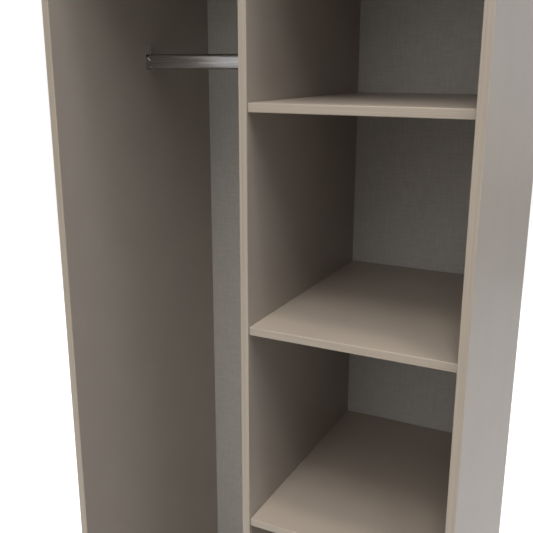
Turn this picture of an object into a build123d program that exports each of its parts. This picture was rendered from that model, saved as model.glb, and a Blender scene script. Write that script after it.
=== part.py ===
from build123d import *
import os

# Open-fronted two-compartment wardrobe in melamine-faced board: a hanging space with an oval
# rail on the left, and four loose shelves on pins on the right.
# Millimetres. X runs left to right, Y from the front to the back, Z up.
# The origin is on the floor, at the centre of the footprint.

# Overall size
width, depth, height = 770.0, 530.0, 1970.0
board = 15.0                  # thickness of every melamine-faced board
band = 2.0                    # thickness of the plastic edging on the front edges
band_radius = 1.5             # rounding of the edging's long edges
clearance = 0.3               # running clearance between loose pieces

# Carcass
inset = 21.0                  # base panel and divider stand this far behind the side panels' fronts
base_top = 80.0               # height of the base panel's upper face
plinth_recess = 30.0          # plinth front behind the base panel's front
glide_height = 3.0
back_thickness = 3.0
rebate_width = 8.0            # rebate in the sides and top that takes the back panel
bay_pitch = 378.0             # shelf to shelf, equal all the way up
shelf_count = 4
shelf_inset = 4.0             # shelf front behind the divider's front
shelf_side_gap = 0.5
shelf_back_gap = 1.5

# Fittings
rail_height, rail_width, rail_wall, rail_radius = 30.0, 15.0, 1.0, 7.0
rail_centre_z = 1655.5
rail_centre_y = 22.5
rail_end_gap = 2.2            # the rail's ends clear the screw heads as it is lifted
bracket_plate = 1.2           # sheet thickness of the rail brackets
bracket_reach = 10.0          # how far a cup stands out from the panel
bracket_tab_top = 33.5        # top of the screw tab above the rail's centre
bracket_tab_radius = 4.0
cup_rim_high, cup_rim_low = 9.5, 1.5
tab_screw_z, cup_screw_z = 22.5, -5.5
cam_radius, cam_depth, cam_setback = 7.5, 12.0, 34.0
bolt_thread_radius, bolt_thread_length = 2.5, 11.0
bolt_radius, bolt_neck_radius = 3.5, 2.0
bolt_bore_radius = 4.0
dowel_radius, dowel_length, dowel_in_face = 4.0, 30.0, 10.0
cam_y = (-190.0, 190.0)
dowel_y = (-110.0, 110.0)
confirmat_y = (-160.0, 160.0)
pin_radius, pin_hole_depth, pin_reach = 2.5, 9.0, 8.0
pin_from_shelf_end = 80.0
wood_screw_radius, wood_screw_head = 1.75, 3.5
nail_radius, nail_length, nail_head_radius, nail_head = 0.8, 20.0, 1.8, 0.6

# Planes of the carcass
front, rear = -depth / 2, depth / 2
outer = width / 2
inner = outer - board                       # inner face of a side panel
divider_face = board / 2
top_under = height - board                  # upper face of the upper bay
base_under = base_top - board
board_mid = board / 2
inset_front = front + inset
back_face = rear - back_thickness           # front face of the back panels
shelf_front = inset_front + shelf_inset
shelf_rear = back_face - shelf_back_gap
shelf_unders = [base_under + bay_pitch * (k + 1) for k in range(shelf_count)]
pin_y = (shelf_front + pin_from_shelf_end, shelf_rear - pin_from_shelf_end)
cam_top_z = top_under - cam_setback
cam_base_x = inner - cam_setback
base_mid = base_under + board_mid
plinth_front_y = inset_front + plinth_recess
plinth_rear_y = back_face - plinth_recess
plinth_dowel_z = 34.0
sides = (-1, 1)

os.makedirs("parts", exist_ok=True)


def save(piece, name):
    """Label a finished sub-part and write it as its own file."""
    piece.part.label = name
    export_step(piece.part, f"parts/{name}.step")


def drill(plane, points, radius, length):
    """Cut round holes in the part being built, from a plane along its normal."""
    with BuildSketch(plane, mode=Mode.PRIVATE) as holes:
        with Locations(*points):
            Circle(radius)
    extrude(holes.sketch, amount=length, mode=Mode.SUBTRACT)


def rods(plane, points, radius, length, taper=0):
    """Add round rods, or tapered heads, to the part being built, from a plane along its normal."""
    with BuildSketch(plane, mode=Mode.PRIVATE) as discs:
        with Locations(*points):
            Circle(radius)
    extrude(discs.sketch, amount=length, taper=taper)


def slab(x_span, y_span, z_span):
    """Add a rectangular board between the given spans to the part being built."""
    with BuildSketch(Plane.XY.offset(z_span[0]), mode=Mode.PRIVATE) as outline:
        with Locations(((x_span[0] + x_span[1]) / 2, (y_span[0] + y_span[1]) / 2)):
            Rectangle(x_span[1] - x_span[0], y_span[1] - y_span[0])
    extrude(outline.sketch, amount=z_span[1] - z_span[0])


def face_plane(side, x):
    """Plane across X at side * x, with its normal pointing outwards from the middle."""
    return Plane(origin=(side * x, 0, 0), x_dir=(0, 1, 0), z_dir=(side, 0, 0))


def on_face(side, points):
    """Y, Z points written for a plane made by face_plane, whose local Y follows its side."""
    return [(y, side * z) for y, z in points]


# Positions shared by the fittings and the holes that take them
side_cams = [(y, cam_top_z) for y in cam_y]
side_bolts_low = [(y, base_mid) for y in cam_y]
side_dowels_low = [(y, base_mid) for y in dowel_y]
plinth_dowels = [(plinth_front_y + board_mid, plinth_dowel_z), (plinth_rear_y - board_mid, plinth_dowel_z)]
shelf_pin_points = [(y, z - clearance - pin_radius) for z in shelf_unders for y in pin_y]
bracket_screw_points = [(rail_centre_y, rail_centre_z + z) for z in (tab_screw_z, cup_screw_z)]
glide_y = (front + 30, rear - 30)
nail_rows = [base_top + 80 + 217 * k for k in range(9)]
side_nails = [(side * (inner + 4), z + 20 * (side > 0)) for side in sides for z in nail_rows]
divider_nails = [(side * 4, z + 20 * (side > 0)) for side in sides for z in nail_rows]
base_nails = [(side * x, base_mid) for side in sides for x in (94, 283)]
top_nails = [(side * x, top_under + 4) for side in sides for x in (94, 283)]
nail_points = side_nails + divider_nails + base_nails + top_nails
wall_bracket_x = (inner + divider_face) / 2
wall_bracket_screws = [(side * wall_bracket_x, back_face - 20) for side in sides]
wall_hole_radius = 2.75
wall_hole_z = top_under - 26

# ---------------------------------------------------------------- side panels
# Each stands on two glides and runs up to the underside of the top panel. The inner rear
# edge is rebated for the back panel, and the inner face is drilled for its fittings.
for side, name in ((-1, "left"), (1, "right")):
    inward = face_plane(-side, -inner)      # inner face, with its normal into the compartment
    outward = face_plane(side, inner)       # inner face, with its normal into the board
    with BuildPart() as side_panel:
        slab(sorted((side * inner, side * outer)), (front + band, rear), (glide_height, top_under))
        with BuildSketch(Plane.XY.offset(base_under)) as rebate:
            with Locations((side * (inner + rebate_width / 2), rear - back_thickness / 2)):
                Rectangle(rebate_width, back_thickness)
        extrude(amount=top_under - base_under, mode=Mode.SUBTRACT)
        drill(outward, on_face(side, side_cams), cam_radius, cam_depth)
        drill(outward, on_face(side, side_bolts_low), bolt_thread_radius, bolt_thread_length)
        drill(outward, on_face(side, side_dowels_low + plinth_dowels), dowel_radius, dowel_in_face)
        drill(Plane.XY.offset(cam_top_z), [(side * (inner + board_mid), y) for y in cam_y],
              bolt_bore_radius, cam_setback)
        drill(Plane.XY.offset(top_under - dowel_length + dowel_in_face),
              [(side * (inner + board_mid), y) for y in dowel_y], dowel_radius, dowel_length)
        drill(Plane.XY.offset(glide_height), [(side * (inner + board_mid), y) for y in glide_y], 1.2, 12)
        drill(Plane.XZ.offset(-back_face), [p for p in side_nails if p[0] * side > 0], nail_radius,
              nail_length - back_thickness)
        if side > 0:
            drill(outward, on_face(side, shelf_pin_points), pin_radius, pin_hole_depth)
        else:
            drill(outward, on_face(side, bracket_screw_points), wood_screw_radius, 12)
    save(side_panel, f"side_panel_{name}")

    with BuildPart() as side_band:
        slab(sorted((side * inner, side * outer)), (front, front + band), (glide_height, top_under))
        fillet(side_band.edges().filter_by(Axis.Z).group_by(Axis.Y)[0], band_radius)
    save(side_band, f"side_front_edging_{name}")

# ---------------------------------------------------------------- top panel
# Lies on the sides and the divider, drawn down on them by cam fittings.
with BuildPart() as top_panel:
    slab((band - outer, outer - band), (front + band, rear), (top_under, height))
    with BuildSketch(Plane.XY.offset(top_under)) as top_rebate:
        with Locations((0, rear - back_thickness / 2)):
            Rectangle(2 * (inner + rebate_width), back_thickness)
    extrude(amount=rebate_width, mode=Mode.SUBTRACT)
    board_lines = (-inner - board_mid, 0, inner + board_mid)
    drill(Plane.XY.offset(top_under), [(x, y) for x in board_lines for y in cam_y],
          bolt_thread_radius, bolt_thread_length)
    drill(Plane.XY.offset(top_under), [(x, y) for x in board_lines for y in dowel_y],
          dowel_radius, dowel_in_face)
    drill(Plane.XY.offset(top_under), wall_bracket_screws, wood_screw_radius, 12)
    drill(Plane.XZ.offset(-back_face), top_nails, nail_radius, nail_length - back_thickness)
save(top_panel, "top_panel")

with BuildPart() as top_front_band:
    slab((-outer, outer), (front, front + band), (top_under, height))
    fillet(top_front_band.edges().filter_by(Axis.X).group_by(Axis.Y)[0], band_radius)
save(top_front_band, "top_front_edging")

with BuildPart() as top_end_bands:
    for side in sides:
        slab(sorted((side * (outer - band), side * outer)), (front + band, rear), (top_under, height))
    long_edges = top_end_bands.edges().filter_by(Axis.Y).group_by(Axis.X)
    fillet(long_edges[0] + long_edges[-1], band_radius)
save(top_end_bands, "top_end_edgings")

# ---------------------------------------------------------------- base panel
# Hangs between the sides above the plinth, held by cam fittings let into its underside.
with BuildPart() as base_panel:
    slab((-inner, inner), (inset_front + band, back_face), (base_under, base_top))
    drill(Plane.XY.offset(base_under), [(side * cam_base_x, y) for side in sides for y in cam_y],
          cam_radius, cam_depth)
    drill(Plane.XY.offset(base_under), [(0, y) for y in confirmat_y], bolt_radius, board)
    drill(Plane.XY.offset(base_under), [(0, y) for y in confirmat_y], 5, 3)
    drill(Plane.XY.offset(base_top - dowel_in_face), [(0, y) for y in dowel_y], dowel_radius, dowel_in_face)
    for side in sides:
        inward = face_plane(-side, -inner)
        drill(inward, on_face(-side, side_bolts_low), bolt_bore_radius, cam_setback)
        drill(inward, on_face(-side, side_dowels_low), dowel_radius, dowel_length - dowel_in_face)
    drill(Plane.XZ.offset(-back_face), base_nails, nail_radius, nail_length - back_thickness)
save(base_panel, "base_panel")

with BuildPart() as base_band:
    slab((-inner, inner), (inset_front, inset_front + band), (base_under, base_top))
    fillet(base_band.edges().filter_by(Axis.X).group_by(Axis.Y)[0], band_radius)
save(base_band, "base_front_edging")

# ---------------------------------------------------------------- centre divider
# Stands on the base panel, screwed from below and drawn to the top by cams on its right face.
left_face = face_plane(1, -divider_face)    # left face, normal into the board
right_face = face_plane(-1, -divider_face)  # right face, normal into the board
with BuildPart() as divider:
    slab((-divider_face, divider_face), (inset_front + band, back_face), (base_top, top_under))
    drill(right_face, on_face(-1, side_cams), cam_radius, cam_depth)
    drill(right_face, on_face(-1, shelf_pin_points), pin_radius, pin_hole_depth)
    drill(left_face, bracket_screw_points, wood_screw_radius, 12)
    drill(Plane.XY.offset(cam_top_z), [(0, y) for y in cam_y], bolt_bore_radius, cam_setback)
    drill(Plane.XY.offset(top_under - dowel_length + dowel_in_face), [(0, y) for y in dowel_y],
          dowel_radius, dowel_length)
    drill(Plane.XY.offset(base_top), [(0, y) for y in dowel_y], dowel_radius, dowel_length - dowel_in_face)
    drill(Plane.XY.offset(base_top), [(0, y) for y in confirmat_y], 2.5, 35)
    drill(Plane.XZ.offset(-back_face), divider_nails, nail_radius, nail_length - back_thickness)
save(divider, "centre_divider")

with BuildPart() as divider_band:
    slab((-divider_face, divider_face), (inset_front, inset_front + band), (base_top, top_under))
    fillet(divider_band.edges().filter_by(Axis.Z).group_by(Axis.Y)[0], band_radius)
save(divider_band, "divider_front_edging")

# ---------------------------------------------------------------- plinth
# Two boards between the sides carry the base panel, with glued corner blocks behind them.
for name, y_span in (("front", (plinth_front_y, plinth_front_y + board)),
                     ("rear", (plinth_rear_y - board, plinth_rear_y))):
    with BuildPart() as plinth:
        slab((-inner, inner), y_span, (glide_height, base_under))
        for side in sides:
            drill(face_plane(-side, -inner), on_face(-side, [((y_span[0] + y_span[1]) / 2, plinth_dowel_z)]),
                  dowel_radius, dowel_length - dowel_in_face)
        drill(Plane.XY.offset(glide_height), [(0, (y_span[0] + y_span[1]) / 2)], 1.2, 12)
    save(plinth, f"plinth_{name}")

block_size, block_height = 20.0, 45.0
with BuildPart() as plinth_blocks:
    for side in sides:
        for y_low in (plinth_front_y + board, plinth_rear_y - board - block_size):
            slab(sorted((side * (inner - block_size), side * inner)), (y_low, y_low + block_size),
                 (base_under - block_height, base_under))
save(plinth_blocks, "plinth_corner_blocks")

# ---------------------------------------------------------------- back panels
# Two hardboard sheets in the rebates, meeting behind the divider, and the nails that hold them.
for side, name in ((-1, "left"), (1, "right")):
    with BuildPart() as back_panel:
        slab(sorted((side * 0.5, side * (inner + rebate_width - 0.5))), (back_face, rear),
             (base_under + 1, top_under + rebate_width - 0.5))
        own_nails = [(x, z) for x, z in nail_points if x * side > 0]
        drill(Plane.XZ.offset(-rear), own_nails, nail_radius, back_thickness)
        drill(Plane.XZ.offset(-rear), own_nails, nail_head_radius, nail_head)
        drill(Plane.XZ.offset(-rear), [(side * wall_bracket_x, wall_hole_z)], wall_hole_radius, back_thickness)
    save(back_panel, f"back_panel_{name}")

with BuildPart() as nails:
    rods(Plane.XZ.offset(-rear), nail_points, nail_head_radius, nail_head)
    rods(Plane.XZ.offset(-rear), nail_points, nail_radius, nail_length)
save(nails, "back_panel_nails")

# ---------------------------------------------------------------- flat-pack fittings
# Zinc cams sit in round pockets and grip the heads of steel bolts; beech dowels line the joints up.
cam_bolt_tail = cam_setback + 1.5           # the bolt's head ends just past the cam's centre


def bolt(plane):
    """Add one cam bolt: its thread behind the plane, its shank and head along the normal."""
    with BuildSketch(plane, mode=Mode.PRIVATE) as thread:
        Circle(bolt_thread_radius)
    extrude(thread.sketch, amount=-bolt_thread_length)
    shank_end, neck_end = cam_setback - cam_radius, cam_setback - 3
    for radius, low, high in ((bolt_radius, 0, shank_end), (bolt_neck_radius, shank_end, neck_end),
                              (bolt_radius, neck_end, cam_bolt_tail)):
        with BuildSketch(plane.offset(low), mode=Mode.PRIVATE) as ring:
            Circle(radius)
        extrude(ring.sketch, amount=high - low)


def cam(plane, towards):
    """Add one cam: the plane lies on its outer face, with the normal into the board."""
    with BuildSketch(plane, mode=Mode.PRIVATE) as disc:
        Circle(cam_radius)
        Rectangle(8, 1.6, mode=Mode.SUBTRACT)
        Rectangle(1.6, 8, mode=Mode.SUBTRACT)
    with BuildSketch(plane.offset(2), mode=Mode.PRIVATE) as web:
        Circle(cam_radius)
    extrude(disc.sketch, amount=2)
    extrude(web.sketch, amount=cam_depth - 2)
    middle = plane.origin + plane.z_dir * board_mid - towards * 2
    with BuildSketch(Plane(origin=middle, z_dir=towards), mode=Mode.PRIVATE) as throat:
        Circle(bolt_radius + 0.2)
    extrude(throat.sketch, amount=cam_radius + 4, mode=Mode.SUBTRACT)


top_cam_faces = [(-inner, -1), (inner, 1), (divider_face, -1)]
with BuildPart() as cams:
    for x, into in top_cam_faces:
        for y in cam_y:
            cam(Plane(origin=(x, y, cam_top_z), x_dir=(0, 1, 0), z_dir=(into, 0, 0)), Vector(0, 0, 1))
    for side in sides:
        for y in cam_y:
            cam(Plane(origin=(side * cam_base_x, y, base_under), z_dir=(0, 0, 1)), Vector(side, 0, 0))
save(cams, "cam_locks")

with BuildPart() as cam_bolts:
    for x in board_lines:
        for y in cam_y:
            bolt(Plane(origin=(x, y, top_under), z_dir=(0, 0, -1)))
    for side in sides:
        for y in cam_y:
            bolt(Plane(origin=(side * inner, y, base_mid), z_dir=(-side, 0, 0)))
save(cam_bolts, "cam_bolts")

cap_radius, cap_thickness = 8.5, 1.0
with BuildPart() as cam_caps:
    for x, into in top_cam_faces:
        rods(Plane(origin=(x, 0, 0), x_dir=(0, 1, 0), z_dir=(-into, 0, 0)),
             on_face(-into, side_cams), cap_radius, cap_thickness, taper=35)
save(cam_caps, "cam_cover_caps")

with BuildPart() as dowels:
    for side in sides:
        outward = face_plane(side, inner - dowel_length + dowel_in_face)
        rods(outward, on_face(side, side_dowels_low + plinth_dowels), dowel_radius, dowel_length)
    rods(Plane.XY.offset(top_under - dowel_length + dowel_in_face),
         [(x, y) for x in board_lines for y in dowel_y], dowel_radius, dowel_length)
    rods(Plane.XY.offset(base_top - dowel_in_face), [(0, y) for y in dowel_y], dowel_radius, dowel_length)
save(dowels, "wood_dowels")

with BuildPart() as confirmats:
    rods(Plane.XY.offset(base_under), [(0, y) for y in confirmat_y], 5, 3)
    rods(Plane.XY.offset(base_under), [(0, y) for y in confirmat_y], bolt_radius, board)
    rods(Plane.XY.offset(base_top), [(0, y) for y in confirmat_y], 2.5, 35)
    with BuildSketch(Plane.XY.offset(base_under), mode=Mode.PRIVATE) as hex_sockets:
        with Locations(*[(0, y) for y in confirmat_y]):
            RegularPolygon(2.3, 6)
    extrude(hex_sockets.sketch, amount=2.5, mode=Mode.SUBTRACT)
save(confirmats, "divider_base_screws")

with BuildPart() as glides:
    glide_points = [(side * (inner + board_mid), y) for side in sides for y in glide_y]
    glide_points += [(0, plinth_front_y + board_mid), (0, plinth_rear_y - board_mid)]
    rods(Plane.XY, glide_points, 7, glide_height)
    rods(Plane.XY.offset(glide_height), glide_points, 1.2, 12)
    fillet(glides.edges().filter_by(GeomType.CIRCLE).group_by(Axis.Z)[0], 1)
save(glides, "floor_glides")

# ---------------------------------------------------------------- wall fixing
# Two steel angles under the top panel. A screw through each upright leg and the back panel
# behind it holds the wardrobe to the wall.
angle_width, angle_leg, angle_sheet = 16.0, 40.0, 2.0
with BuildPart() as wall_angles:
    for x, y in wall_bracket_screws:
        x_span = (x - angle_width / 2, x + angle_width / 2)
        slab(x_span, (back_face - angle_leg, back_face), (top_under - angle_sheet, top_under))
        slab(x_span, (back_face - angle_sheet, back_face), (top_under - angle_leg, top_under - angle_sheet))
    drill(Plane.XY.offset(top_under - angle_sheet), wall_bracket_screws, wood_screw_radius, angle_sheet)
    drill(Plane.XZ.offset(-back_face), [(side * wall_bracket_x, wall_hole_z) for side in sides],
          wall_hole_radius, angle_sheet)
save(wall_angles, "wall_fixing_angles")

with BuildPart() as angle_screws:
    seat_z = top_under - angle_sheet
    rods(Plane(origin=(0, 0, seat_z), x_dir=(1, 0, 0), z_dir=(0, 0, -1)),
         [(x, -y) for x, y in wall_bracket_screws], wood_screw_head, 1.6, taper=40)
    rods(Plane.XY.offset(seat_z), wall_bracket_screws, wood_screw_radius, angle_sheet + 12)
save(angle_screws, "wall_fixing_angle_screws")

# ---------------------------------------------------------------- hanging rail
# An oval steel tube that rests in two open-topped cups and lifts out.
rail_left = -inner + bracket_plate + rail_end_gap
rail_right = -divider_face - bracket_plate - rail_end_gap
with BuildPart() as rail:
    with BuildSketch(Plane.YZ.offset(rail_left)):
        with Locations((rail_centre_y, rail_centre_z)):
            RectangleRounded(rail_width, rail_height, rail_radius)
            RectangleRounded(rail_width - 2 * rail_wall, rail_height - 2 * rail_wall,
                             rail_radius - rail_wall, mode=Mode.SUBTRACT)
    extrude(amount=rail_right - rail_left)
save(rail, "hanging_rail")

# Each bracket is one stamping: a plate with a screw tab, and a cup bent out of it.
cup_half = rail_width / 2 + clearance + bracket_plate
cup_floor = -rail_height / 2 - clearance - bracket_plate
for side, face_x, name in ((1, -inner, "left"), (-1, -divider_face, "right")):
    plate_plane = Plane(origin=(face_x, rail_centre_y, rail_centre_z), x_dir=(0, side, 0), z_dir=(side, 0, 0))
    with BuildPart() as bracket:
        with BuildSketch(plate_plane):
            with BuildLine():
                Polyline((-cup_half, cup_floor), (cup_half, cup_floor), (cup_half, bracket_tab_top),
                         (-cup_half, bracket_tab_top), close=True)
            make_face()
            fillet(vertices().group_by(Axis.Y)[-1], bracket_tab_radius)
        extrude(amount=bracket_plate)
        for wall_y in (-cup_half, cup_half - bracket_plate):
            wall_plane = Plane(origin=(face_x, rail_centre_y + wall_y + bracket_plate, rail_centre_z),
                               x_dir=(side, 0, 0), z_dir=(0, -side, 0))
            with BuildSketch(wall_plane):
                with BuildLine():
                    Polyline((0, cup_floor), (bracket_reach, cup_floor), (bracket_reach, cup_rim_low),
                             (bracket_plate, cup_rim_high), (0, cup_rim_high), close=True)
                make_face()
            extrude(amount=side * bracket_plate)
        with BuildSketch(Plane.XY.offset(rail_centre_z + cup_floor)):
            with Locations((face_x + side * bracket_reach / 2, rail_centre_y)):
                Rectangle(bracket_reach, 2 * cup_half)
        extrude(amount=bracket_plate)
        fillet(bracket.edges().filter_by(Axis.X).group_by(Axis.Z)[0], bracket_plate)
        with BuildSketch(plate_plane, mode=Mode.PRIVATE) as screw_holes:
            with Locations((0, tab_screw_z), (0, cup_screw_z)):
                Circle(wood_screw_radius)
        extrude(screw_holes.sketch, amount=bracket_plate, mode=Mode.SUBTRACT)
    save(bracket, f"rail_bracket_{name}")

with BuildPart() as bracket_screws:
    for side, face_x in ((1, -inner), (-1, -divider_face)):
        shank = Plane(origin=(face_x - side * 12, 0, 0), x_dir=(0, side, 0), z_dir=(side, 0, 0))
        points = [(side * y, z) for y, z in bracket_screw_points]
        rods(shank, points, wood_screw_radius, 12 + bracket_plate)
        rods(shank.offset(12 + bracket_plate), points[:1], wood_screw_head, 1.6, taper=40)
save(bracket_screws, "rail_bracket_screws")

# ---------------------------------------------------------------- shelves
# Four loose boards, each resting on four steel pins pushed into the divider and the right side.
shelf_x = (divider_face + shelf_side_gap, inner - shelf_side_gap)
for number, under in enumerate(shelf_unders, start=1):
    with BuildPart() as shelf:
        slab(shelf_x, (shelf_front + band, shelf_rear), (under, under + board))
    save(shelf, f"shelf_{number}")

    with BuildPart() as shelf_band:
        slab(shelf_x, (shelf_front, shelf_front + band), (under, under + board))
        fillet(shelf_band.edges().filter_by(Axis.X).group_by(Axis.Y)[0], band_radius)
    save(shelf_band, f"shelf_front_edging_{number}")

with BuildPart() as pins:
    for face_x, into in ((divider_face, -1), (inner, 1)):
        start = Plane(origin=(face_x - into * pin_reach, 0, 0), x_dir=(0, 1, 0), z_dir=(into, 0, 0))
        rods(start, on_face(into, shelf_pin_points), pin_radius, pin_reach + pin_hole_depth)
save(pins, "shelf_pins")
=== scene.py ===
import math
import bmesh
import bpy
from mathutils import Matrix, Vector


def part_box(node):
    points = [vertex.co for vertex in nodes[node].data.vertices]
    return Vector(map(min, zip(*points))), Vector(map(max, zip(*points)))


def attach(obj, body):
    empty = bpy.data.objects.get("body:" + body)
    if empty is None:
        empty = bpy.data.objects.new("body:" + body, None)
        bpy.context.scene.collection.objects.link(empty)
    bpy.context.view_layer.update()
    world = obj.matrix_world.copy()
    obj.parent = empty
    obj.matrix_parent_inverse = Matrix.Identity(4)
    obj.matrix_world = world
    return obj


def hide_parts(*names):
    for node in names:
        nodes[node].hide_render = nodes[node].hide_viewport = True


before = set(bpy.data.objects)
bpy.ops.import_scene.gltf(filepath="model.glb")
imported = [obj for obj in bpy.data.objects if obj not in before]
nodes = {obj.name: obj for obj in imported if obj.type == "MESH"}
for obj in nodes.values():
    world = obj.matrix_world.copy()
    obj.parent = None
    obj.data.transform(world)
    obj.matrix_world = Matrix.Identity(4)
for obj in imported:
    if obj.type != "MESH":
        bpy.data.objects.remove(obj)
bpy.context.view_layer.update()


# ---------------------------------------------------------------- melamine-faced boards
# The sides, divider, top, base, plinth and shelves are chipboard pressed between two sheets of
# taupe decor paper soaked in melamine resin. The faces are satin and smooth but for a fine
# pearl emboss; the edges without a strip show the sawn chips.
def linear(hex_code):
    """An sRGB hex colour as linear RGBA."""
    parts = [int(hex_code[i:i + 2], 16) / 255 for i in (1, 3, 5)]
    return (*[c / 12.92 if c <= 0.04045 else ((c + 0.055) / 1.055) ** 2.4 for c in parts], 1.0)


def add_node(tree, kind, sockets=None, **settings):
    """Add a node, set its properties, then fill or link its input sockets."""
    node = tree.nodes.new(kind)
    for name, value in settings.items():
        setattr(node, name, value)
    for name, value in (sockets or {}).items():
        if isinstance(value, bpy.types.NodeSocket):
            tree.links.new(value, node.inputs[name])
        else:
            node.inputs[name].default_value = value
    return node


def new_material(name):
    """An empty node material: its tree, its shader and the object coordinates in metres."""
    material = bpy.data.materials.new(name)
    material.use_nodes = True
    tree = material.node_tree
    shader = tree.nodes["Principled BSDF"]
    place = add_node(tree, "ShaderNodeTexCoord").outputs["Object"]
    return material, tree, shader, place


def chips(tree, place):
    """Sawn chipboard: pressed wood flakes about 2 mm long in a darker dust. Returns colour and height."""
    flake_length = 0.0022
    flake = add_node(tree, "ShaderNodeTexVoronoi", {"Vector": place, "Scale": 1 / flake_length,
                                                    "Randomness": 1.0})
    flake_tone = add_node(tree, "ShaderNodeSeparateColor", {"Color": flake.outputs["Color"]})
    colour = add_node(tree, "ShaderNodeValToRGB", {"Fac": flake_tone.outputs["Red"]})
    colour.color_ramp.elements[0].color = linear("#7D5C3A")
    colour.color_ramp.elements[1].color = linear("#D0AE7E")
    middle = colour.color_ramp.elements.new(0.5)
    middle.color = linear("#AD8757")
    return colour.outputs["Color"], flake_tone.outputs["Green"]


# A Mix node takes its two numbers on sockets 2 and 3 and gives the result on 0. It takes its two
# colours on sockets 6 and 7 and gives the result on 2.
def melamine(name, face_axis, darkest, lightest):
    """Melamine-faced chipboard whose faces look along face_axis (0, 1 or 2 for X, Y or Z)."""
    material, tree, shader, place = new_material(name)
    cloud_width = 0.09
    cloud = add_node(tree, "ShaderNodeTexNoise", {"Vector": place, "Scale": 1 / cloud_width, "Detail": 3.0})
    paper = add_node(tree, "ShaderNodeValToRGB", {"Fac": cloud.outputs["Fac"]})
    paper.color_ramp.elements[0].position = 0.35
    paper.color_ramp.elements[1].position = 0.65
    paper.color_ramp.elements[0].color = linear(darkest)
    paper.color_ramp.elements[1].color = linear(lightest)
    sawn, sawn_height = chips(tree, place)
    normal = add_node(tree, "ShaderNodeNewGeometry").outputs["True Normal"]
    along = add_node(tree, "ShaderNodeSeparateXYZ", {"Vector": normal}).outputs[face_axis]
    size = add_node(tree, "ShaderNodeMath", {0: along}, operation="ABSOLUTE").outputs[0]
    is_face = add_node(tree, "ShaderNodeMath", {0: size, 1: 0.7}, operation="GREATER_THAN").outputs[0]
    colour = add_node(tree, "ShaderNodeMix", {"Factor": is_face, 6: sawn, 7: paper.outputs["Color"]},
                      data_type="RGBA")
    # pearl emboss: pits about 0.6 mm across, drawn at 1.5 mm so that they show
    pit_width = 0.0015
    pearl = add_node(tree, "ShaderNodeTexNoise", {"Vector": place, "Scale": 1 / pit_width, "Detail": 2.0})
    height = add_node(tree, "ShaderNodeMix", {"Factor": is_face, 2: sawn_height, 3: pearl.outputs["Fac"]})
    depth = add_node(tree, "ShaderNodeMix", {"Factor": is_face, 2: 0.8, 3: 0.12})
    bump = add_node(tree, "ShaderNodeBump", {"Height": height.outputs[0], "Strength": depth.outputs[0],
                                            "Distance": 0.0002})
    rough = add_node(tree, "ShaderNodeMapRange", {"Value": pearl.outputs["Fac"],
                                                  "To Min": 0.30, "To Max": 0.40})
    roughness = add_node(tree, "ShaderNodeMix", {"Factor": is_face, 2: 0.85, 3: rough.outputs[0]})
    tree.links.new(colour.outputs[2], shader.inputs["Base Color"])
    tree.links.new(roughness.outputs[0], shader.inputs["Roughness"])
    tree.links.new(bump.outputs["Normal"], shader.inputs["Normal"])
    shader.inputs["IOR"].default_value = 1.5
    return material


def finish_with(material, *names):
    """Give CAD nodes a material in their own slots."""
    for name in names:
        slots = nodes[name].data.materials
        slots.clear()
        slots.append(material)


# the uprights' paper is painted a little greyer and cooler than the shelves': painted shade, standing for
# the cooler look of their mostly shaded faces
upright_board_shade_greyed = melamine("melamine_taupe_upright_shade_greyed", face_axis=0, darkest="#9F958B", lightest="#A2988D")
flat_board = melamine("melamine_taupe_flat", face_axis=2, darkest="#A29588", lightest="#A5988A")
plinth_board = melamine("melamine_taupe_plinth", face_axis=1, darkest="#A29588", lightest="#A5988A")
finish_with(upright_board_shade_greyed, "side_panel_left", "side_panel_right", "centre_divider")
finish_with(flat_board, "top_panel", "base_panel", "shelf_1", "shelf_2", "shelf_3", "shelf_4")
finish_with(plinth_board, "plinth_front", "plinth_rear")


# ---------------------------------------------------------------- front edgings
# Two-millimetre ABS strip in the board's colour, hot-glued to every front edge and milled
# round. Extruding leaves faint lines along the strip; they are 0.3 mm apart, drawn at 1.6 mm.
strip_dark = "#9E9182"
strip_light = "#AA9D8C"


def abs_strip(name, along):
    """Extruded ABS edging whose length runs along X, Y or Z (0, 1, 2)."""
    material, tree, shader, place = new_material(name)
    line_pitch = 0.0016
    line_length = 0.25
    stretch = [1 / line_pitch] * 3
    stretch[along] = 1 / line_length
    lines_place = add_node(tree, "ShaderNodeMapping", {"Vector": place, "Scale": stretch})
    lines = add_node(tree, "ShaderNodeTexNoise", {"Vector": lines_place.outputs[0], "Scale": 1.0,
                                                  "Detail": 2.0})
    tone = add_node(tree, "ShaderNodeValToRGB", {"Fac": lines.outputs["Fac"]})
    tone.color_ramp.elements[0].position = 0.3
    tone.color_ramp.elements[1].position = 0.7
    tone.color_ramp.elements[0].color = linear(strip_dark)
    tone.color_ramp.elements[1].color = linear(strip_light)
    rough = add_node(tree, "ShaderNodeMapRange", {"Value": lines.outputs["Fac"],
                                                  "To Min": 0.32, "To Max": 0.46})
    bump = add_node(tree, "ShaderNodeBump", {"Height": lines.outputs["Fac"], "Strength": 0.1,
                                            "Distance": 0.0001})
    tree.links.new(tone.outputs["Color"], shader.inputs["Base Color"])
    tree.links.new(rough.outputs[0], shader.inputs["Roughness"])
    tree.links.new(bump.outputs["Normal"], shader.inputs["Normal"])
    shader.inputs["IOR"].default_value = 1.53
    return material


strip_upright = abs_strip("abs_edging_upright", along=2)
strip_across = abs_strip("abs_edging_across", along=0)
strip_back_to_front = abs_strip("abs_edging_depth", along=1)
finish_with(strip_upright, "side_front_edging_left", "side_front_edging_right", "divider_front_edging")
finish_with(strip_across, "top_front_edging", "base_front_edging",
            "shelf_front_edging_1", "shelf_front_edging_2", "shelf_front_edging_3", "shelf_front_edging_4")
finish_with(strip_back_to_front, "top_end_edgings")


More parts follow.
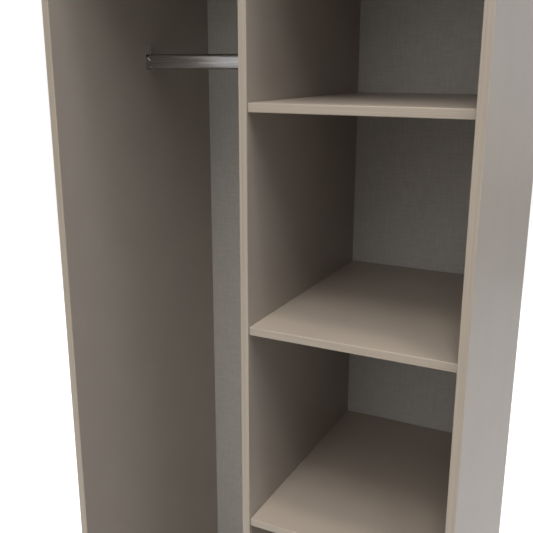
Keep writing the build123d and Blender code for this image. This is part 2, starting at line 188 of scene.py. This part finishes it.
# ---------------------------------------------------------------- back panels
# Three-millimetre hardboard, faced inside with paper printed as grey linen and left brown
# behind. The cloth's threads are about 0.6 mm; the slubs that show are 2 to 3 mm apart.
slub_pitch = 0.0022
slub_length = 0.03
linen, tree, shader, place = new_material("hardboard_linen_print")
warp_place = add_node(tree, "ShaderNodeMapping", {"Vector": place,
                                                  "Scale": (1 / slub_pitch, 1, 1 / slub_length)})
warp = add_node(tree, "ShaderNodeTexNoise", {"Vector": warp_place.outputs[0], "Scale": 1.0, "Detail": 3.0})
weft_place = add_node(tree, "ShaderNodeMapping", {"Vector": place,
                                                  "Scale": (1 / slub_length, 1, 1 / slub_pitch)})
weft = add_node(tree, "ShaderNodeTexNoise", {"Vector": weft_place.outputs[0], "Scale": 1.0, "Detail": 3.0})
threads = add_node(tree, "ShaderNodeMath", {0: warp.outputs["Fac"], 1: weft.outputs["Fac"]},
                   operation="ADD")
print_tone = add_node(tree, "ShaderNodeMapRange", {"Value": threads.outputs[0],
                                                   "From Min": 0.7, "From Max": 1.3})
print_colour = add_node(tree, "ShaderNodeMix", {"Factor": print_tone.outputs[0], 6: linear("#9D988F"),
                                               7: linear("#ADA79E")}, data_type="RGBA")
# the bare side is matted wood fibre: hairs a few tenths wide, drawn at 4 mm, in clouds of 120 mm
hair_width = 0.004
cloud_width = 0.12
fibre = add_node(tree, "ShaderNodeTexNoise", {"Vector": place, "Scale": 1 / hair_width, "Detail": 6.0,
                                              "Roughness": 0.7})
cloud = add_node(tree, "ShaderNodeTexNoise", {"Vector": place, "Scale": 1 / cloud_width, "Detail": 4.0})
matted = add_node(tree, "ShaderNodeMath", {0: cloud.outputs["Fac"], 1: 0.3, 2: fibre.outputs["Fac"]},
                  operation="MULTIPLY_ADD")
fibre_tone = add_node(tree, "ShaderNodeMapRange", {"Value": matted.outputs[0],
                                                   "From Min": 0.4, "From Max": 0.9})
brown = add_node(tree, "ShaderNodeMix", {"Factor": fibre_tone.outputs[0], 6: linear("#6B4A30"),
                                        7: linear("#A07750")}, data_type="RGBA")
normal = add_node(tree, "ShaderNodeNewGeometry").outputs["True Normal"]
facing = add_node(tree, "ShaderNodeSeparateXYZ", {"Vector": normal}).outputs["Y"]
is_print = add_node(tree, "ShaderNodeMath", {0: facing, 1: -0.7}, operation="LESS_THAN").outputs[0]
colour = add_node(tree, "ShaderNodeMix", {"Factor": is_print, 6: brown.outputs[2],
                                         7: print_colour.outputs[2]}, data_type="RGBA")
relief = add_node(tree, "ShaderNodeMix", {"Factor": is_print, 2: fibre.outputs["Fac"],
                                         3: print_tone.outputs[0]})
bump = add_node(tree, "ShaderNodeBump", {"Height": relief.outputs[0], "Strength": 0.25,
                                        "Distance": 0.0002})
tree.links.new(colour.outputs[2], shader.inputs["Base Color"])
tree.links.new(bump.outputs["Normal"], shader.inputs["Normal"])
shader.inputs["Roughness"].default_value = 0.62
shader.inputs["IOR"].default_value = 1.48
finish_with(linen, "back_panel_left", "back_panel_right")


# ---------------------------------------------------------------- cams, bolts, nails and pins
# Die-cast cams, their bolts, the nails of the back and the shelf pins are plated with bright
# zinc, and so are the wall angles. The plating looks cool and grey, with clouds of faintly blue
# bloom 2 to 3 mm wide.
bloom_width = 0.0025
zinc, tree, shader, place = new_material("zinc_plated_steel")
bloom = add_node(tree, "ShaderNodeTexNoise", {"Vector": place, "Scale": 1 / bloom_width, "Detail": 4.0})
tone = add_node(tree, "ShaderNodeValToRGB", {"Fac": bloom.outputs["Fac"]})
tone.color_ramp.elements[0].position = 0.35
tone.color_ramp.elements[1].position = 0.65
tone.color_ramp.elements[0].color = linear("#9FA3A6")
tone.color_ramp.elements[1].color = linear("#C9CBCC")
rough = add_node(tree, "ShaderNodeMapRange", {"Value": bloom.outputs["Fac"], "To Min": 0.26, "To Max": 0.46})
tree.links.new(tone.outputs["Color"], shader.inputs["Base Color"])
tree.links.new(rough.outputs[0], shader.inputs["Roughness"])
shader.inputs["Metallic"].default_value = 1.0
finish_with(zinc, "back_panel_nails", "cam_locks", "cam_bolts", "wall_fixing_angles", "shelf_pins",
            "divider_base_screws")


# ---------------------------------------------------------------- screws
# Cross-recess wood screws hold the rail brackets and the wall angles. Each is cold-headed from
# wire, its recess pressed in, and plated like the cams.
def add_screw(mesh, seat, out, head_radius, rim, crown, shank_radius, shank_length):
    """Add one pan-head screw, its head standing on seat and facing out, with a four-armed recess."""
    arm = 0.56 * head_radius
    half_width = 0.13 * head_radius
    corner = math.degrees(math.atan2(half_width, arm))
    angles = [math.radians(90 * quarter + turn) for quarter in range(4)
              for turn in (-corner, 0, corner, 24, 35, 45, 55, 66)]

    def cross(share, height):
        ring = []
        for angle in angles:
            across = abs(math.sin(angle)), abs(math.cos(angle))
            reach = share * min(arm / max(across), half_width / max(min(across), 1e-6))
            ring.append((reach * math.cos(angle), reach * math.sin(angle), height))
        return ring

    def circle(radius, height):
        return [(radius * math.cos(angle), radius * math.sin(angle), height) for angle in angles]

    top = rim + crown
    mouth = rim + 0.8 * crown
    rings = [cross(0.25, 0.15 * top), cross(0.8, 0.5 * top), cross(1.0, mouth)]
    rings += [circle(head_radius * share, rim + crown * math.sqrt(1 - share ** 2))
              for share in (0.62, 0.75, 0.87, 0.95, 1.0)]
    rings += [circle(head_radius, 0), circle(shank_radius, 0)]
    rings += [circle(shank_radius, 2 * shank_radius - shank_length),
              circle(0.1 * shank_radius, -shank_length)]
    stand = Matrix.Translation(seat) @ Vector(out).to_track_quat("Z", "Y").to_matrix().to_4x4()
    loops = [[mesh.verts.new(stand @ Vector(point)) for point in ring] for ring in rings]
    for inner, outer in zip(loops, loops[1:]):
        for this in range(len(angles)):
            following = (this + 1) % len(angles)
            mesh.faces.new((inner[this], outer[this], outer[following], inner[following]))
    mesh.faces.new(list(reversed(loops[0])))
    mesh.faces.new(loops[-1])


def finish_piece(mesh, name, material, body, slot, *stands_for):
    """Turn a bmesh into a piece that rides on a body and stands for CAD nodes."""
    bmesh.ops.recalc_face_normals(mesh, faces=mesh.faces)
    data = bpy.data.meshes.new(name)
    mesh.to_mesh(data)
    mesh.free()
    data.materials.append(material)
    piece = bpy.data.objects.new(name, data)
    bpy.context.scene.collection.objects.link(piece)
    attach(piece, body)
    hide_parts(*stands_for)


# 3.5 mm screws: a 7 mm pan head in each bracket's tab, and a flatter 6 mm head inside its cup
sheet = 0.0012
shank_radius = 0.00175
bracket_shank = 0.0132
tab_head = 0.0035
tab_rim = 0.0005
tab_crown = 0.0011
cup_head = 0.003
cup_rim = 0.0003
cup_crown = 0.0004
low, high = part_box("rail_bracket_screws")
across = (low.y + high.y) / 2
left_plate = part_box("rail_bracket_left")[0].x + sheet
right_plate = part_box("rail_bracket_right")[1].x - sheet
mesh = bmesh.new()
for plate, out in ((left_plate, (1, 0, 0)), (right_plate, (-1, 0, 0))):
    add_screw(mesh, (plate, across, high.z - tab_head), out,
              tab_head, tab_rim, tab_crown, shank_radius, bracket_shank)
    add_screw(mesh, (plate, across, low.z + shank_radius), out,
              cup_head, cup_rim, cup_crown, shank_radius, bracket_shank)
finish_piece(mesh, "bracket_wood_screws", zinc, "carcass", "zinc_plated_steel", "rail_bracket_screws")

low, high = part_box("wall_fixing_angle_screws")
seat_height = low.z + tab_rim + tab_crown
mesh = bmesh.new()
for seat_x in (low.x + tab_head, high.x - tab_head):
    add_screw(mesh, (seat_x, (low.y + high.y) / 2, seat_height), (0, 0, -1),
              tab_head, tab_rim, tab_crown, shank_radius, high.z - seat_height)
finish_piece(mesh, "wall_angle_wood_screws", zinc, "carcass", "zinc_plated_steel",
             "wall_fixing_angle_screws")


# ---------------------------------------------------------------- hanging rail
# Oval steel tube, drawn through rollers and chromed to a satin shine. The rollers leave long
# brushed lines that stretch every reflection along the tube.
def satin_chrome(name, streak_along, streak_across, darkest, lightest):
    """Chromed steel whose brushed lines run along X, with lengths and pitches in metres."""
    material, tree, shader, place = new_material(name)
    stretch = (1 / streak_along, 1 / streak_across, 1 / streak_across)
    brush_place = add_node(tree, "ShaderNodeMapping", {"Vector": place, "Scale": stretch})
    brush = add_node(tree, "ShaderNodeTexNoise", {"Vector": brush_place.outputs[0], "Scale": 1.0,
                                                  "Detail": 3.0})
    tone = add_node(tree, "ShaderNodeValToRGB", {"Fac": brush.outputs["Fac"]})
    tone.color_ramp.elements[0].position = 0.3
    tone.color_ramp.elements[1].position = 0.7
    tone.color_ramp.elements[0].color = linear(darkest)
    tone.color_ramp.elements[1].color = linear(lightest)
    rough = add_node(tree, "ShaderNodeMapRange", {"Value": brush.outputs["Fac"],
                                                  "To Min": 0.16, "To Max": 0.28})
    bump = add_node(tree, "ShaderNodeBump", {"Height": brush.outputs["Fac"], "Strength": 0.1,
                                            "Distance": 0.0001})
    tree.links.new(tone.outputs["Color"], shader.inputs["Base Color"])
    tree.links.new(rough.outputs[0], shader.inputs["Roughness"])
    tree.links.new(bump.outputs["Normal"], shader.inputs["Normal"])
    shader.inputs["Metallic"].default_value = 1.0
    return material


# real lines are about 0.1 mm apart; they are drawn at 2 mm so that they show
rail_chrome = satin_chrome("chromed_steel_brushed", streak_along=0.07, streak_across=0.002,
                           darkest="#AEACAA", lightest="#D8D6D4")
finish_with(rail_chrome, "hanging_rail")


# ---------------------------------------------------------------- rail brackets
# Each bracket is pressed from 1.2 mm steel and chromed. Pressing rolls the sheet's cut edges
# over a little, so they show as thin bright lines. The rail's and the pins' edges are broken too.
# the pressed faces are not brushed: the chrome is only cloudy, in patches 3 to 4 mm wide
bracket_chrome = satin_chrome("chromed_steel_pressed", streak_along=0.004, streak_across=0.003,
                              darkest="#B4B2B0", lightest="#CFCDCB")
finish_with(bracket_chrome, "rail_bracket_left", "rail_bracket_right")


def round_edges(name, radius):
    """Break a node's sharp edges with a small rounded bevel."""
    bevel = nodes[name].modifiers.new("rounded_edges", "BEVEL")
    bevel.width = radius
    bevel.segments = 3
    bevel.limit_method = "ANGLE"
    bevel.angle_limit = math.radians(40)
    bevel.use_clamp_overlap = True


round_edges("rail_bracket_left", 0.00055)
round_edges("rail_bracket_right", 0.00055)
round_edges("hanging_rail", 0.0002)
round_edges("shelf_pins", 0.0005)


# ---------------------------------------------------------------- cam cover caps
# Moulded polypropylene caps in the board's colour press over the cams. Spark-eroded moulds
# give them a fine, even grain and a dull sheen. The grain is 0.1 mm, drawn at 0.8 mm to show.
mould_grain = 0.0008
caps, tree, shader, place = new_material("moulded_polypropylene_taupe")
grain = add_node(tree, "ShaderNodeTexNoise", {"Vector": place, "Scale": 1 / mould_grain, "Detail": 2.0})
tone = add_node(tree, "ShaderNodeValToRGB", {"Fac": grain.outputs["Fac"]})
tone.color_ramp.elements[0].color = linear("#A39585")
tone.color_ramp.elements[1].color = linear("#AD9F8F")
rough = add_node(tree, "ShaderNodeMapRange", {"Value": grain.outputs["Fac"], "To Min": 0.38, "To Max": 0.52})
bump = add_node(tree, "ShaderNodeBump", {"Height": grain.outputs["Fac"], "Strength": 0.2,
                                        "Distance": 0.0001})
tree.links.new(tone.outputs["Color"], shader.inputs["Base Color"])
tree.links.new(rough.outputs[0], shader.inputs["Roughness"])
tree.links.new(bump.outputs["Normal"], shader.inputs["Normal"])
shader.inputs["IOR"].default_value = 1.49
finish_with(caps, "cam_cover_caps")


# ---------------------------------------------------------------- floor glides
# Nail-on glides of moulded brown polyethylene keep the boards off the floor. It scuffs the lowest
# 1.5 mm of their feet paler, in dents and scratches about 1 mm wide.
scuff_grain = 0.0012
scuff_height = 0.0015
glide, tree, shader, place = new_material("moulded_polyethylene_brown")
grain = add_node(tree, "ShaderNodeTexNoise", {"Vector": place, "Scale": 1 / scuff_grain, "Detail": 3.0})
height = add_node(tree, "ShaderNodeSeparateXYZ", {"Vector": place}).outputs["Z"]
foot = add_node(tree, "ShaderNodeMapRange", {"Value": height, "From Min": 0.0, "From Max": scuff_height,
                                            "To Min": 0.6, "To Max": 0.0})
scuffed = add_node(tree, "ShaderNodeMath", {0: foot.outputs[0], 1: grain.outputs["Fac"]},
                   operation="MULTIPLY")
tone = add_node(tree, "ShaderNodeMix", {"Factor": scuffed.outputs[0], 6: linear("#3A2E24"),
                                       7: linear("#7A6B5C")}, data_type="RGBA")
rough = add_node(tree, "ShaderNodeMapRange", {"Value": grain.outputs["Fac"], "To Min": 0.42, "To Max": 0.58})
tree.links.new(tone.outputs[2], shader.inputs["Base Color"])
tree.links.new(rough.outputs[0], shader.inputs["Roughness"])
shader.inputs["IOR"].default_value = 1.51
finish_with(glide, "floor_glides")


# ---------------------------------------------------------------- dowels and corner blocks
# The dowels and the blocks behind the plinth are raw beech, turned or sawn along the grain.
# The grain runs as fine darker lines with flecks 20 mm long and 0.5 mm wide, drawn at 1.5 mm.
def beech(name, along):
    """Raw beech with its grain along X, Y or Z (0, 1, 2)."""
    material, tree, shader, place = new_material(name)
    grain_width = 0.0015
    fleck_length = 0.02
    stretch = [1 / grain_width] * 3
    stretch[along] = 1 / fleck_length
    grain_place = add_node(tree, "ShaderNodeMapping", {"Vector": place, "Scale": stretch})
    grain = add_node(tree, "ShaderNodeTexNoise", {"Vector": grain_place.outputs[0], "Scale": 1.0,
                                                  "Detail": 4.0})
    tone = add_node(tree, "ShaderNodeValToRGB", {"Fac": grain.outputs["Fac"]})
    tone.color_ramp.elements[0].color = linear("#B98A5C")
    tone.color_ramp.elements[1].color = linear("#D9B384")
    rough = add_node(tree, "ShaderNodeMapRange", {"Value": grain.outputs["Fac"],
                                                  "To Min": 0.58, "To Max": 0.72})
    bump = add_node(tree, "ShaderNodeBump", {"Height": grain.outputs["Fac"], "Strength": 0.3,
                                            "Distance": 0.0001})
    tree.links.new(tone.outputs["Color"], shader.inputs["Base Color"])
    tree.links.new(rough.outputs[0], shader.inputs["Roughness"])
    tree.links.new(bump.outputs["Normal"], shader.inputs["Normal"])
    return material


finish_with(beech("beech_turned", along=0), "wood_dowels")
finish_with(beech("beech_sawn", along=2), "plinth_corner_blocks")


# ---------------------------------------------------------------- floor
# A plain matt floor, painted white. It carries a little light of its own for the lens only, so
# that it stays pale where the wardrobe shades it.
floor_half = 4.5
own_light = 0.62
white = (1, 1, 1, 1)
floor_mesh = bpy.data.meshes.new("studio_floor")
floor_mesh.from_pydata([(-floor_half, -floor_half, 0), (floor_half, -floor_half, 0),
                        (floor_half, floor_half, 0), (-floor_half, floor_half, 0)], [], [(0, 1, 2, 3)])
floor = bpy.data.objects.new("studio_floor", floor_mesh)
bpy.context.scene.collection.objects.link(floor)
paint, tree, shader, place = new_material("matt_white_paint")
seen = add_node(tree, "ShaderNodeLightPath").outputs["Is Camera Ray"]
lift = add_node(tree, "ShaderNodeMath", {0: seen, 1: own_light}, operation="MULTIPLY")
tree.links.new(lift.outputs[0], shader.inputs["Emission Strength"])
shader.inputs["Emission Color"].default_value = white
shader.inputs["Base Color"].default_value = linear("#E7E7E7")
shader.inputs["Roughness"].default_value = 0.9
floor_mesh.materials.append(paint)


# ---------------------------------------------------------------- room light
# A white room. Broad soft glows stand for its walls, and the lens sees plain white behind the
# wardrobe. Each glow has an elevation, an azimuth, a sharpness and a radiance.
glows = ((0, 0, 8, 0.35), (0, 120, 8, 2.74), (0, 180, 8, 0.36), (25, 0, 24, 2.55), (50, 50, 30, 3.24),
         (0, -20, 45, 1.0))


def direction(elevation, azimuth):
    """A unit vector from the wardrobe. Azimuth 0 is in front and 90 on its right."""
    up = math.radians(elevation)
    around = math.radians(azimuth)
    return Vector((math.cos(up) * math.sin(around), -math.cos(up) * math.cos(around), math.sin(up)))


world = bpy.data.worlds.new("studio")
bpy.context.scene.world = world
world.use_nodes = True
tree = world.node_tree
look = add_node(tree, "ShaderNodeTexCoord").outputs["Generated"]
total = None
for elevation, azimuth, sharpness, radiance in glows:
    cosine = add_node(tree, "ShaderNodeVectorMath", {0: look, 1: direction(elevation, azimuth)},
                      operation="DOT_PRODUCT").outputs["Value"]
    facing = add_node(tree, "ShaderNodeMath", {0: cosine, 1: 0.0}, operation="MAXIMUM").outputs[0]
    lobe = add_node(tree, "ShaderNodeMath", {0: facing, 1: sharpness}, operation="POWER").outputs[0]
    glow = add_node(tree, "ShaderNodeMath", {0: lobe, 1: radiance}, operation="MULTIPLY").outputs[0]
    total = glow if total is None else add_node(tree, "ShaderNodeMath", {0: total, 1: glow}).outputs[0]
seen = add_node(tree, "ShaderNodeLightPath").outputs["Is Camera Ray"]
strength = add_node(tree, "ShaderNodeMix", {"Factor": seen, 2: total, 3: 1.0}).outputs[0]
tree.links.new(strength, tree.nodes["Background"].inputs["Strength"])


# ---------------------------------------------------------------- dado rail and skirting
# Low down, the far wall has a pale warm dado rail over a darker skirting. The outer side mirrors both
# as soft bands. Each step is a height (the sine of the elevation) and the wall's colour there.
wall_bands = ((-0.24, "#F9FBFF"), (-0.19, "#D3CECB"), (-0.15, "#D0CBC8"), (-0.12, "#F9FAFB"),
              (-0.105, "#FFF3E6"), (-0.09, "#FFF3E6"), (-0.06, "#F9FBFF"))
lowest = -0.30
highest = 0.0
height = add_node(tree, "ShaderNodeSeparateXYZ", {"Vector": look}).outputs["Z"]
share = add_node(tree, "ShaderNodeMapRange", {"Value": height, "From Min": lowest, "From Max": highest})
wall = add_node(tree, "ShaderNodeValToRGB", {"Fac": share.outputs[0]})
ramp = wall.color_ramp.elements
ramp[0].color = linear(wall_bands[0][1])
ramp[1].color = linear(wall_bands[-1][1])
for band_height, band_colour in wall_bands:
    ramp.new((band_height - lowest) / (highest - lowest)).color = linear(band_colour)
tint = add_node(tree, "ShaderNodeMix", {"Factor": seen, 6: wall.outputs["Color"], 7: white},
                data_type="RGBA")
tree.links.new(tint.outputs[2], tree.nodes["Background"].inputs["Color"])


# ---------------------------------------------------------------- soft boxes
# Square lamps above the front, most of them on the right, and one behind and one on the left for
# the outer faces. Each has an elevation, an azimuth, a width in metres and a power in watts.
soft_boxes = ((75, 40, 1.0, 57), (65, 60, 0.8, 39), (62, 40, 1.0, 9), (65, 20, 0.8, 32),
              (55, 20, 0.8, 38), (60, 0, 0.9, 17), (46, 0, 0.9, 17), (35, 20, 0.8, 4),
              (30, 180, 1.5, 15), (30, 270, 1.5, 130))
box_distance = 5.0
aim = Vector((0, 0, 1.2))
for number, (elevation, azimuth, width, watts) in enumerate(soft_boxes, start=1):
    box = bpy.data.lights.new(f"soft_box_{number}", "AREA")
    box.shape = "SQUARE"
    box.size = width
    box.energy = watts
    stand = bpy.data.objects.new(f"soft_box_{number}", box)
    towards = direction(elevation, azimuth)
    stand.location = aim + towards * box_distance
    stand.rotation_euler = towards.to_track_quat("Z", "Y").to_euler()
    bpy.context.scene.collection.objects.link(stand)


# ---------------------------------------------------------------- camera
# A normal lens at head height, right of the front, turned left and tilted down into the
# compartments.
camera_place = (0.5796, -1.2942, 1.6525)
turn = math.radians(27.06)
tilt = math.radians(15.40)
lens = bpy.data.cameras.new("camera")
lens.lens = 49.85
lens.sensor_width = 36.0
camera = bpy.data.objects.new("camera", lens)
camera.location = camera_place
camera.rotation_euler = (math.pi / 2 - tilt, 0, turn)
bpy.context.scene.collection.objects.link(camera)
bpy.context.scene.camera = camera
bpy.context.scene.view_settings.view_transform = "Standard"
